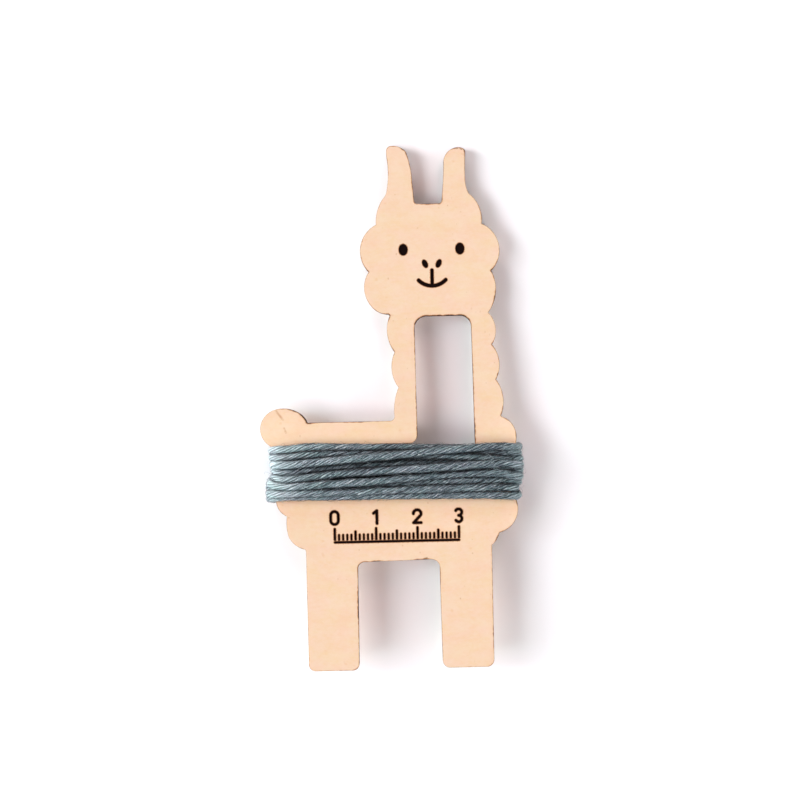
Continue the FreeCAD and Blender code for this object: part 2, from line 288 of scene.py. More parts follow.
yarn_v, yarn_f, yarn_fib, yarn_tone, yarn_painted_shade_light = [], [], [], [], []
for k in range(PLIES + 1):
    if k < PLIES:
        phase = (twist + 2.0 * math.pi * k / PLIES
                 + 0.17 * wander(n_line, STEP, 3.0, 20 + k))
        at = PLY_AT * thick * (1.0 + 0.045 * wander(n_line, STEP, 3.1, 30 + k))
        size = PLY_R
    else:
        phase, at, size = twist, np.full(n_line, 0.0), CORE_R
    out = np.cos(phase)[:, None] * side_a + np.sin(phase)[:, None] * side_b
    rad = size * thick * (1.0 + 0.07 * wander(n_line, STEP, 1.9, 40 + k)
                          + 0.07 * wander(n_line, STEP, 0.85, 50 + k))
    ring, faces, ang = tube(body + out * at[:, None], out, rad,
                            k * n_line * SIDES)
    yarn_v.append(ring.reshape(-1, 3))
    yarn_f += faces
    # fibres lie nearly along the yarn: they turn against the ply
    fa = ang[None, :] + (2.0 * math.pi * along / 6.6)[:, None]
    yarn_fib.append(np.stack([
        np.repeat(along[:, None], SIDES, 1) + 400.0 * k,
        size * np.cos(fa), size * np.sin(fa)], 2).reshape(-1, 3))
    yarn_tone.append(np.repeat(0.5 + 0.5 * wander(n_line, STEP, 7.0, 60 + k), SIDES))
    # how deep a point lies, between its plies and between the turns: painted shade darkens these
    # places
    own = np.linalg.norm(ring - body[:, None], axis=2) / (at + rad)[:, None]
    groove = 1.0 - np.clip((own - 0.87) / 0.115, 0.0, 1.0)
    painted_gap_shade = np.clip((shade_of(ring) - 0.07) * 2.1, 0.0, 1.0) \
        * (1.0 - 0.16 * np.clip((ring[:, :, 0] - 10.0) / 14.0, 0.0, 1.0))
    painted_gap_shade *= 1.0 + 0.22 * wander(n_line, STEP, 2.2, 80 + k)[:, None]
    painted_gap_shade = painted_gap_shade.clip(0.0, 1.0)
    # painted highlight and painted shade: paler at the left end where the low lamps from the left
    # strike, and on the upper front side, less so on the lower-left bulge; darker towards the
    # right, paler again at the far right end
    up = (ring[:, :, 2] - line[:, None, 2]) / 0.93
    face = (0.30 + 0.70 * np.clip((ring[:, :, 2] - 5.2) / 2.2, 0.0, 1.0)) \
        * (0.60 + 0.40 * np.clip((up + 0.2) / 0.5, 0.0, 1.0))
    face *= 1.0 - 0.42 * np.clip(-29.0 - ring[:, :, 0], 0.0, 1.0) \
        * np.clip(-16.8 - ring[:, :, 1], 0.0, 1.0)
    far = (ring[:, :, 0] + 30.0).clip(0.0, None) / 5.7
    painted_light_and_shade = 1.00 * face * np.exp(-far ** 1.65) \
        - 0.26 * np.clip((ring[:, :, 0] + 12.0) / 30.0, 0.0, 1.0) \
        + 0.62 * np.clip((ring[:, :, 0] - 26.2) / 4.0, 0.0, 1.0)
    yarn_painted_shade_light.append((np.stack([groove, painted_gap_shade, painted_light_and_shade], 2)).reshape(-1, 3))
yarn = mesh_object("yarn", np.concatenate(yarn_v), yarn_f)
point_vectors(yarn, "fib", np.concatenate(yarn_fib))
point_vectors(yarn, "deep", np.concatenate(yarn_painted_shade_light))
point_floats(yarn, "tone", np.concatenate(yarn_tone))


def strip_uv(ob, tubes, per, sides, rows_each):
    """UV map with each tube cut in rows, so that a bake wastes no room."""
    rows = tubes * rows_each
    cell = int(math.ceil((per - 1) / rows_each))
    uv = ob.data.uv_layers.new(name="OFBake")
    q = np.arange(per - 1)
    row, col = q // cell, q % cell
    u0, u1 = col / cell, (col + 1) / cell
    pad = 0.12 / rows
    res = []
    for t in range(tubes):
        base = (t * rows_each + row) / rows
        j = np.arange(sides)
        v0 = base[:, None] + pad + (1.0 / rows - 2 * pad) * j / sides
        v1 = base[:, None] + pad + (1.0 / rows - 2 * pad) * (j + 1) / sides
        uu0 = np.repeat(u0[:, None] * 0.996 + 0.002, sides, 1)
        uu1 = np.repeat(u1[:, None] * 0.996 + 0.002, sides, 1)
        quad = np.stack([uu0, v0, uu0, v1, uu1, v1, uu1, v0], 2)
        res.append(quad.reshape(-1))
        for end in (0, per - 2):
            m = (end // cell + t * rows_each) / rows + 0.5 / rows
            c = (end % cell) / cell * 0.996 + 0.002
            a = np.arange(sides) * 2 * math.pi / sides
            res.append(np.stack([c + 0.0005 * np.cos(a), m + 0.0005 * np.sin(a)],
                                1).reshape(-1))
    uv.data.foreach_set("uv", np.concatenate(res).astype(np.float32))


strip_uv(yarn, PLIES + 1, n_line, SIDES, 10)


def fuzz():
    """Stray fibres that lie along the yarn and stand a little off it."""
    r = np.random.default_rng(5)
    fan = np.arange(24) * math.pi / 12
    hidden = shade_of(line[:, None] + 0.95 * (
        np.cos(fan)[None, :, None] * side_a[:, None]
        + np.sin(fan)[None, :, None] * side_b[:, None]))
    count, steps = 11000, 6
    start = r.integers(8, n_line - 8, count)
    turn = r.uniform(0.0, 2.0 * math.pi, count)
    length = r.gamma(2.6, 0.62, count).clip(0.5, 4.2)
    slope = r.normal(0.0, 0.62, count)         # round the strand
    lift = np.abs(r.normal(0.0, 0.15, count)) + 0.02
    lift[::12] *= 3.2
    sign = r.choice([-1.0, 1.0], count)
    curl = r.normal(0.0, 0.35, (count, 2))
    dim = hidden[start, np.round(turn / (math.pi / 12)).astype(int) % 24]
    t = np.linspace(0.0, 1.0, steps)
    verts, faces = [], []
    for c in range(count):
        s = start[c] + sign[c] * length[c] * t / STEP
        s = np.clip(s, 0, n_line - 1.001)
        i = s.astype(int)
        f = (s - i)[:, None]
        mid = line[i] * (1 - f) + line[i + 1] * f
        ea, eb = side_a[i], side_b[i]
        w = turn[c] + slope[c] * t * length[c] / 1.4 + curl[c, 0] * t * t
        h = (YARN_D / 2.0 - 0.03 + lift[c] * np.sin(math.pi * (0.08 + 0.72 * t))
             + 0.12 * curl[c, 1] * t * t)
        p = mid + (np.cos(w) * h)[:, None] * ea + (np.sin(w) * h)[:, None] * eb
        p[:, 2] = np.maximum(p[:, 2], 0.03)
        d = np.gradient(p, axis=0)
        d /= np.linalg.norm(d, axis=1)[:, None] + 1e-9
        u = np.cross(d, [0.31, 0.52, 0.79])
        u /= np.linalg.norm(u, axis=1)[:, None] + 1e-9
        v = np.cross(d, u)
        thin = 0.027 * (1.0 - 0.7 * t)
        first = len(verts) * steps * 3
        tri = [p + thin[:, None] * (math.cos(q) * u + math.sin(q) * v)
               for q in (0.0, 2.0944, 4.1888)]
        verts.append(np.stack(tri, 1).reshape(-1, 3))
        for q in range(steps - 1):
            for k in range(3):
                k2 = (k + 1) % 3
                b0, b1 = first + q * 3, first + q * 3 + 3
                faces.append((b0 + k, b0 + k2, b1 + k2, b1 + k))
        faces.append((first + 2, first + 1, first))
        e = first + (steps - 1) * 3
        faces.append((e, e + 1, e + 2))
    ob = mesh_object("yarn_fuzz", np.concatenate(verts), faces)
    # painted shade: fibres on the side of a turn that its neighbours hide are painted darker; the
    # rest keep a random tone
    point_floats(ob, "tone", np.repeat(
        r.uniform(0.0, 1.0, count) * (1.0 - 1.6 * dim).clip(0.0, 1.0)
        - 0.9 * dim, steps * 3))
    # each fibre has a small cell of the UV map
    side = int(math.ceil(math.sqrt(count)))
    c = np.arange(count)
    size = np.array([len(f) for f in faces])
    owner = np.repeat(np.repeat(c, (steps - 1) * 3 + 2), size)
    corner = np.concatenate([np.arange(k) for k in size])
    cx = (owner % side + 0.5 + 0.2 * np.cos(corner * 1.6)) / side
    cy = (owner // side + 0.5 + 0.2 * np.sin(corner * 1.6)) / side
    ob.data.uv_layers.new(name="OFBake").data.foreach_set(
        "uv", np.stack([cx, cy], 1).astype(np.float32).ravel())
    return ob


fluff = fuzz()

# =================================================================== board
# Outline of the board, and of the slot in it: ("L", end) is a straight edge,
# ("A", through, end) an arc.  These are the same edges as the CAD plies'.
SHIFT = (2.15, -0.35)
OUT_START = (-3.15, 50.75)
OUTLINE = [
    # left ear
    ("A", (-2.48, 51.60), (-2.10, 52.80)),
    ("A", (-1.68, 56.50), (-1.85, 60.30)),
    ("A", (-1.98, 61.30), (-2.00, 62.30)),
    ("A", (-1.72, 63.18), (-0.90, 63.60)),
    ("A", (0.60, 63.48), (2.00, 62.80)),
    ("A", (2.62, 62.28), (2.95, 61.60)),
    ("A", (3.66, 58.90), (4.05, 56.00)),
    ("L", (4.47, 50.40)),
    ("A", (4.70, 49.75), (5.30, 49.48)),
    # between the ears
    ("L", (10.30, 49.48)),
    ("A", (10.90, 49.70), (11.15, 50.30)),
    # right ear
    ("A", (11.60, 54.70), (11.82, 59.60)),
    ("A", (12.10, 60.80), (12.80, 61.80)),
    ("A", (13.55, 62.42), (14.50, 62.82)),
    ("A", (15.45, 62.95), (16.30, 62.75)),
    ("A", (16.90, 62.38), (17.10, 61.70)),
    ("A", (16.93, 57.80), (17.00, 54.30)),
    ("A", (17.30, 52.90), (17.78, 51.70)),
    # fleece scallops down the right of the head and neck
    ("A", (20.22, 48.45), (20.70, 44.35)),
    ("A", (24.78, 39.21), (22.80, 32.95)),
    ("A", (23.79, 27.76), (21.85, 22.85)),
    ("A", (23.57, 19.11), (22.60, 15.10)),
    ("A", (24.27, 11.00), (23.40, 6.65)),
    ("A", (25.01, 2.43), (24.42, -2.10)),
    ("L", (24.65, -2.38)),
    # chest
    ("A", (27.31, -4.60), (27.95, -8.10)),
    ("A", (27.72, -9.20), (27.20, -10.15)),
    ("A", (27.80, -14.40), (26.25, -20.30)),
    ("A", (28.03, -24.57), (23.42, -30.40)),
    ("A", (22.80, -31.80), (22.00, -32.98)),
    ("L", (21.52, -33.35)),
    # right leg
    ("L", (21.50, -60.95)),
    ("A", (20.95, -62.22), (19.65, -62.75)),
    ("L", (10.75, -62.75)),
    ("A", (9.55, -62.22), (9.05, -61.00)),
    ("L", (8.80, -38.70)),
    ("A", (8.25, -37.10), (6.80, -36.48)),
    ("L", (-9.30, -36.82)),
    ("A", (-10.52, -37.36), (-11.00, -38.60)),
    # left leg
    ("L", (-11.10, -61.30)),
    ("A", (-11.58, -62.45), (-12.75, -62.95)),
    ("L", (-21.70, -62.95)),
    ("A", (-22.86, -62.46), (-23.35, -61.30)),
    ("L", (-23.44, -34.00)),
    ("L", (-23.62, -33.50)),
    # belly and flank
    ("A", (-25.92, -32.42), (-27.55, -30.40)),
    ("A", (-27.98, -28.10), (-27.88, -25.38)),
    ("A", (-29.55, -24.10), (-30.38, -22.00)),
    ("A", (-30.62, -18.60), (-29.05, -15.40)),
    ("A", (-29.62, -12.30), (-29.74, -9.05)),
    # tail and back
    ("A", (-33.05, -6.90), (-33.90, -4.45)),
    ("A", (-32.92, -1.38), (-30.40, 0.42)),
    ("A", (-27.30, 0.62), (-24.40, -0.48)),
    ("A", (-23.25, -1.50), (-22.52, -2.78)),
    ("L", (-22.30, -2.86)),
    ("L", (-2.50, -2.84)),
    ("A", (-1.68, -2.50), (-1.36, -1.70)),
    # fleece scallops up the left of the neck and head
    ("A", (-1.25, 1.82), (-0.25, 5.20)),
    ("A", (-1.80, 9.37), (-1.00, 13.75)),
    ("A", (-2.69, 18.04), (-2.00, 22.60)),
    ("L", (-2.30, 22.92)),
    ("A", (-4.62, 23.50), (-6.32, 24.90)),
    ("A", (-7.98, 28.60), (-6.85, 33.25)),
    ("A", (-8.75, 39.36), (-4.85, 44.62)),
    ("A", (-4.50, 47.80), (-3.15, 50.75)),
]

# the slot: down the neck, then widening under the back so that a tie can
# pass round the middle of the wound yarn
SLOT_START = (7.00, 22.30)
SLOT = [
    ("L", (14.90, 22.30)),
    ("A", (16.90, 21.48), (17.68, 19.40)),
    ("L", (18.05, -18.50)),
    ("A", (17.46, -19.91), (16.05, -20.50)),
    ("L", (-17.50, -20.50)),
    ("A", (-18.91, -19.91), (-19.50, -18.50)),
    ("L", (-19.50, -10.40)),
    ("A", (-18.91, -8.99), (-17.50, -8.40)),
    ("L", (2.05, -8.40)),
    ("A", (3.50, -7.80), (4.12, -6.35)),
    ("L", (3.95, 19.50)),
    ("A", (4.80, 21.44), (7.00, 22.30)),
]


def arc_points(a, m, b, step):
    """Points from a up to b, without b, on the circle through a, m and b."""
    a, m, b = (np.array(q, float) for q in (a, m, b))
    ax, ay = a - b
    mx, my = m - b
    d = 2.0 * (ax * my - ay * mx)
    c = b + np.array([my * (ax * ax + ay * ay) - ay * (mx * mx + my * my),
                      ax * (mx * mx + my * my) - mx * (ax * ax + ay * ay)]) / d
    r = np.linalg.norm(a - c)
    ta, tm, tb = (math.atan2(q[1] - c[1], q[0] - c[0]) for q in (a, m, b))
    turn = (tb - ta) % (2 * math.pi)
    if (tm - ta) % (2 * math.pi) > turn:
        turn -= 2 * math.pi
    n = max(2, int(math.ceil(abs(turn) * r / step)))
    t = ta + turn * np.arange(n) / n
    return [(c[0] + r * math.cos(x), c[1] + r * math.sin(x)) for x in t]


def loop_points(first, items, step):
    pts, a = [], first
    for item in items:
        b = item[-1]
        if item[0] == "L":
            n = max(1, int(math.ceil(math.dist(a, b) / step)))
            pts += [(a[0] + (b[0] - a[0]) * i / n, a[1] + (b[1] - a[1]) * i / n)
                    for i in range(n)]
        else:
            pts += arc_points(a, item[1], b, step)
        a = b
    return np.array(pts) + SHIFT


def snap(p):
    """To a grid that single precision holds exactly, so that patches meet."""
    return np.round(np.asarray(p, float) * 1024.0) / 1024.0


def area(p):
    q = np.roll(p, -1, 0)
    return 0.5 * float((p[:, 0] * q[:, 1] - q[:, 0] * p[:, 1]).sum())


def outward(p):
    """Unit normals of a loop that has the wood on its left."""
    e = np.roll(p, -1, 0) - p
    n = np.stack([e[:, 1], -e[:, 0]], 1)
    n /= np.linalg.norm(n, axis=1)[:, None] + 1e-12
    v = n + np.roll(n, 1, 0)
    v /= np.linalg.norm(v, axis=1)[:, None] + 1e-12
    stretch = 1.0 / np.clip((v * n).sum(1), 0.6, 1.0)
    return v * stretch[:, None]


def inside(points, loops):
    """Even-odd test of 2-D points against closed loops."""
    res = np.zeros(len(points), bool)
    for lp in loops:
        lo, hi = lp.min(0), lp.max(0)
        near = np.where(((points >= lo) & (points <= hi)).all(1))[0]
        q = np.roll(lp, -1, 0)
        for part in np.array_split(near, max(1, len(near) * len(lp) // 4000000 + 1)):
            x, y = points[part, 0][:, None], points[part, 1][:, None]
            up = (lp[:, 1] > y) != (q[:, 1] > y)
            with np.errstate(divide="ignore", invalid="ignore"):
                cross = lp[:, 0] + (y - lp[:, 1]) * (q[:, 0] - lp[:, 0]) / (
                    q[:, 1] - lp[:, 1])
            res[part] ^= ((up & (x < cross)).sum(1) % 2).astype(bool)
    return res


def fill(loops, extra=()):
    """Triangles of the region inside the loops: (points, triangles)."""
    pts, edges = [], []
    loops = [snap(lp) for lp in loops]
    for lp in loops:
        k = len(pts)
        pts += [Vector(p) for p in lp.tolist()]
        edges += [(k + i, k + (i + 1) % len(lp)) for i in range(len(lp))]
    pts += [Vector(snap(p).tolist()) for p in extra]
    v, _, f, _, _, _ = delaunay_2d_cdt(pts, edges, [], 0, 1e-7)
    v = np.array([tuple(p) for p in v], float)
    f = np.array([list(t) for t in f if len(t) == 3], int)
    keep = inside(v[f].mean(1), loops)
    f = f[keep]
    a, b, c = v[f[:, 0]], v[f[:, 1]], v[f[:, 2]]
    flip = ((b - a)[:, 0] * (c - a)[:, 1] - (b - a)[:, 1] * (c - a)[:, 0]) < 0
    f[flip] = f[flip][:, ::-1]
    return v, f


EDGE_STEP = 0.19
YARN_BAND = (-20.9, -9.6)    # the wood here sees no light: y from and to
outer = loop_points(OUT_START, OUTLINE, EDGE_STEP)
slot_loop = loop_points(SLOT_START, SLOT, EDGE_STEP)
if area(outer) < 0:
    outer = outer[::-1].copy()
if area(slot_loop) > 0:
    slot_loop = slot_loop[::-1].copy()
rims = [outer, slot_loop]
rim_out = [outward(p) for p in rims]

# ---------------------------------------------------------------- engraving
BURNT_DEPTH = 0.18
LINE_W, SCALE_W = 0.75, 0.42
FACE_X = 8.45


def stroke(p, q, w):
    """Outline of a straight burnt line with round ends."""
    p, q = np.array(p, float), np.array(q, float)
    t = math.atan2(q[1] - p[1], q[0] - p[0])
    out = []
    for c, t0 in ((q, t - math.pi / 2), (p, t + math.pi / 2)):
        for i in range(13):
            b = t0 + math.pi * i / 12
            out.append((c[0] + w / 2 * math.cos(b), c[1] + w / 2 * math.sin(b)))
    return np.array(out)


def arc_stroke(c, r, a0, a1, w):
    a0, a1 = math.radians(a0), math.radians(a1)
    n = max(8, int((a1 - a0) * r / 0.12))
    out = []
    for i in range(n + 1):
        b = a0 + (a1 - a0) * i / n
        out.append((c[0] + (r + w / 2) * math.cos(b), c[1] + (r + w / 2) * math.sin(b)))
    for i in range(1, 12):
        b = a1 + math.pi * i / 12
        out.append((c[0] + r * math.cos(a1) + w / 2 * math.cos(b),
                    c[1] + r * math.sin(a1) + w / 2 * math.sin(b)))
    for i in range(n + 1):
        b = a1 + (a0 - a1) * i / n
        out.append((c[0] + (r - w / 2) * math.cos(b), c[1] + (r - w / 2) * math.sin(b)))
    for i in range(1, 12):
        b = a0 + math.pi + math.pi * i / 12
        out.append((c[0] + r * math.cos(a0) + w / 2 * math.cos(b),
                    c[1] + r * math.sin(a0) + w / 2 * math.sin(b)))
    return np.array(out)


def oval(c, rx, ry, tilt):
    t = np.arange(40) * 2 * math.pi / 40
    k = math.radians(tilt)
    x, y = rx * np.cos(t), ry * np.sin(t)
    return np.stack([c[0] + x * math.cos(k) - y * math.sin(k),
                     c[1] + x * math.sin(k) + y * math.cos(k)], 1)


def stadium(c, rx, ry, e):
    x, k = rx + e, ry - rx
    t = np.arange(17) * math.pi / 16
    top = np.stack([c[0] + x * np.cos(t), c[1] + k + x * np.sin(t)], 1)
    return np.concatenate([top, np.stack(
        [c[0] - x * np.cos(t), c[1] - k - x * np.sin(t)], 1)])


strokes = []             # each a list of loops, even-odd
for side in (-1, 1):
    strokes.append([oval((FACE_X + side * 6.85, 38.45), 1.02, 1.34, 0)])
    strokes.append([oval((FACE_X + side * 1.65, 34.95), 0.56, 1.00, side * -24)])
strokes.append([arc_stroke((FACE_X, 34.15), 4.55, 224.0, 316.0, LINE_W)])
strokes.append([stroke((FACE_X, 33.40), (FACE_X, 29.60), LINE_W * 0.86)])
SCALE_X, SCALE_Y = -16.4, -31.9
strokes.append([stroke((SCALE_X, SCALE_Y), (SCALE_X + 30.0, SCALE_Y), SCALE_W)])
for i in range(31):
    h = 2.6 if i % 10 == 0 else (1.9 if i % 5 == 0 else 1.15)
    strokes.append([stroke((SCALE_X + i, SCALE_Y + 0.62),
                           (SCALE_X + i, SCALE_Y + 0.62 + h),
                           0.36 if i % 5 else SCALE_W)])
FIG_Y, FW, FH = SCALE_Y + 4.35, 0.92, 3.1
c = (SCALE_X, FIG_Y + FH / 2)
strokes.append([stadium(c, FW, FH / 2, 0.25), stadium(c, FW, FH / 2, -0.25)])
x = SCALE_X + 10.0
strokes.append([stroke((x + 0.25, FIG_Y), (x + 0.25, FIG_Y + FH), 0.5)])
strokes.append([stroke((x + 0.25, FIG_Y + FH), (x - 0.55, FIG_Y + FH - 0.62), 0.5)])
x = SCALE_X + 20.0
t = math.radians(-32.0)
strokes.append([arc_stroke((x, FIG_Y + FH - FW), FW, -20, 180, 0.5)])
strokes.append([stroke((x + (FW - 0.04) * math.cos(t),
                        FIG_Y + FH - FW + (FW - 0.04) * math.sin(t)),
                       (x - FW + 0.06, FIG_Y + 0.03), 0.5)])
strokes.append([stroke((x - FW, FIG_Y), (x + FW, FIG_Y), 0.5)])
x = SCALE_X + 30.0
strokes.append([arc_stroke((x, FIG_Y + 3 * FH / 4), FH / 4, -90, 150, 0.5)])
strokes.append([arc_stroke((x, FIG_Y + FH / 4), FH / 4, -150, 90, 0.5)])
strokes = [[lp + SHIFT for lp in s] for s in strokes]


def united(shapes):
    """Outlines of the union of the strokes, with the wood on their left."""
    pts, edges = [], []
    for s in shapes:
        for lp in s:
            k = len(pts)
            pts += [Vector(p) for p in lp.tolist()]
            edges += [(k + i, k + (i + 1) % len(lp)) for i in range(len(lp))]
    v, _, f, _, _, _ = delaunay_2d_cdt(pts, edges, [], 0, 1e-6)
    v = np.array([tuple(p) for p in v], float)
    f = np.array([list(t) for t in f if len(t) == 3], int)
    mid = v[f].mean(1)
    hit = np.zeros(len(f), bool)
    for s in shapes:
        hit |= inside(mid, s)
    nxt = {}
    have = set()
    for t in f[hit].tolist():
        a, b, c = (v[q] for q in t)
        if (b - a)[0] * (c - a)[1] - (b - a)[1] * (c - a)[0] < 0:
            t = t[::-1]
        for p, q in ((t[0], t[1]), (t[1], t[2]), (t[2], t[0])):
            have.add((p, q))
    for p, q in have:
        if (q, p) not in have:
            nxt[q] = p           # turned round: the wood on the left
    loops = []
    while nxt:
        p, lp = next(iter(nxt)), []
        while p in nxt:
            lp.append(v[p])
            p = nxt.pop(p)
        loops.append(np.array(lp))
    out = []
    for lp in loops:
        lp = lp[np.linalg.norm(np.roll(lp, -1, 0) - lp, axis=1) > 0.004]
        fine = []
        for p, q in zip(lp, np.roll(lp, -1, 0)):
            n = max(1, int(math.ceil(np.linalg.norm(q - p) / 0.2)))
            fine += [p + (q - p) * i / n for i in range(n)]
        out.append(np.array(fine))
    return out


grooves = united(strokes)

# ------------------------------------------------------------------- plies
# How strongly the laser has scorched each stretch of the rim, 0 to 1:
# (x, y, reach, amount) in millimetres in the board's frame.
SCORCHED = [
    (-21.2, -1.9, 1.8, 0.90), (-19.6, -3.2, 1.0, 0.60),
    (-23.6, -0.2, 1.5, 0.45), (-8.4, -3.2, 2.2, 0.45),
    (-12.5, -3.2, 5.0, 0.12), (9.5, 22.0, 3.5, 0.75), (15.0, 21.8, 3.5, 0.62),
    (18.5, 21.4, 1.5, 0.40), (6.6, 20.9, 2.0, 0.60), (6.2, 13.6, 2.4, 0.35),
    (6.2, 17.5, 2.0, 0.25), (6.2, -0.5, 3.0, 0.28), (6.2, 3.2, 1.5, 0.30),
    (6.2, -6.0, 2.0, 0.50), (20.1, -6.5, 2.2, 0.55), (20.0, 4.0, 1.5, 0.20),
    (7.8, -36.9, 0.7, 1.60), (5.6, -36.9, 0.9, 0.60), (-4.6, -37.1, 3.0, 0.35),
    (-8.2, -37.8, 1.2, 0.40), (-8.9, -39.6, 1.2, 0.25), (-8.9, -47.5, 4.0, 0.58),
    (-8.9, -52.0, 2.0, 0.35), (25.3, 32.6, 1.6, 0.65), (25.6, 25.6, 1.3, 0.95),
    (24.9, 14.6, 1.0, 0.30), (26.0, 7.0, 1.4, 0.35), (27.0, -1.6, 1.4, 0.40),
    (30.1, -23.6, 1.0, 0.45), (27.0, -30.2, 1.6, 0.35), (25.3, -31.6, 0.9, 0.35),
    (23.7, -54.8, 1.2, 0.35), (22.8, -62.8, 1.0, 0.30), (17.2, 62.9, 1.3, 0.62),
    (18.9, 61.8, 0.8, 0.50), (2.0, 63.2, 0.6, 0.50), (9.6, 49.1, 2.2, 0.40),
    (13.0, 49.6, 1.0, 0.40), (4.6, 62.3, 1.2, 0.35), (6.2, 54.0, 1.5, 0.20),
    (-5.2, 33.8, 1.2, 0.28), (-27.6, -23.8, 1.0, 0.30), (-21.8, -33.8, 1.0, 0.20),
    (0.9, 14.0, 0.8, 0.25), (-0.1, 22.0, 1.4, 0.42), (0.0, 12.2, 0.5, 0.30),
    (-9.2, -62.4, 1.5, 0.25),
]


def scorch_and_shade(points, out, seed):
    n = len(points)
    s = 0.09 + 0.11 * wander(n, EDGE_STEP, 6.0, seed) \
        + 0.10 * wander(n, EDGE_STEP, 1.3, seed + 1)
    # painted shade: rims facing +x, away from the lamps on the left, get a little painted shade on
    # top of their scorch
    s += 0.03 * (out @ np.array([0.9, -0.1]))
    for x, y, reach, amount in SCORCHED:
        d = np.hypot(points[:, 0] - x, points[:, 1] - y)
        s += amount * np.exp(-(d / reach) ** 2)
    s *= (1.0 + 0.70 * wander(n, EDGE_STEP, 0.62, seed + 2)).clip(0.0, None)
    return s.clip(0.02, 1.0)


rim_scorch_and_shade = [scorch_and_shade(p, o, 70 + 5 * i) for i, (p, o) in enumerate(zip(rims, rim_out))]
rim_tree = KDTree(sum(len(p) for p in rims))
for i, p in enumerate(np.concatenate(rims)):
    rim_tree.insert((p[0], p[1], 0.0), i)
rim_tree.balance()
rim_strength = np.concatenate(rim_scorch_and_shade)
groove_tree = KDTree(sum(len(g) for g in grooves))
for i, p in enumerate(np.concatenate(grooves)):
    groove_tree.insert((p[0], p[1], 0.0), i)
groove_tree.balance()


def near_rim_points(loops, outs, rings):
    """Loose points just inside the rims, for a fine fade of the scorching."""
    pts = []
    for depth, every in rings:
        for p, o in zip(loops, outs):
            for q in (p - o * depth)[::every]:
                pts.append((q, depth))
    return pts


def free_points(pitch):
    """Loose points all over the wood, so that no triangle is long."""
    lo, hi = outer.min(0), outer.max(0)
    x, y = np.meshgrid(np.arange(lo[0], hi[0], pitch), np.arange(lo[1], hi[1], pitch))
    x[1::2] += pitch / 2
    p = np.stack([x.ravel(), y.ravel()], 1)
    p = p[inside(p, rims)]
    return [q for q in p if rim_tree.find((q[0], q[1], 0.0))[2] > 1.5]


open_field = free_points(1.3)


class Patch:
    """Collects faces; points that coincide become one vertex."""

    def __init__(self):
        self.keys, self.v, self.f = {}, [], []

    def at(self, p):
        k = tuple(round(float(c) * 1024.0) for c in p)
        if k not in self.keys:
            self.keys[k] = len(self.v)
            self.v.append(tuple(c / 1024.0 for c in k))
        return self.keys[k]

    def face(self, pts):
        ids = [self.at(p) for p in pts]
        ids = [q for i, q in enumerate(ids) if q != ids[i - 1]]
        if len(ids) > 2:
            self.f.append(ids)

    def flat(self, v, tris, z, up=True):
        ids = [self.at((p[0], p[1], z)) for p in v]
        for t in tris.tolist():
            t = [ids[q] for q in (t if up else t[::-1])]
            if len(set(t)) == 3:
                self.f.append(t)

    def band(self, top, zt, low, zl):
        """Wall from a loop at zt to the same loop's points at zl below it."""
        n = len(top)
        a = [self.at((top[i][0], top[i][1], zt)) for i in range(n)]
        b = [self.at((low[i][0], low[i][1], zl)) for i in range(n)]
        for i in range(n):
            j = (i + 1) % n
            q = [a[i], b[i], b[j], a[j]]
            q = [x for k, x in enumerate(q) if x != q[k - 1]]
            if len(q) > 2:
                self.f.append(q)


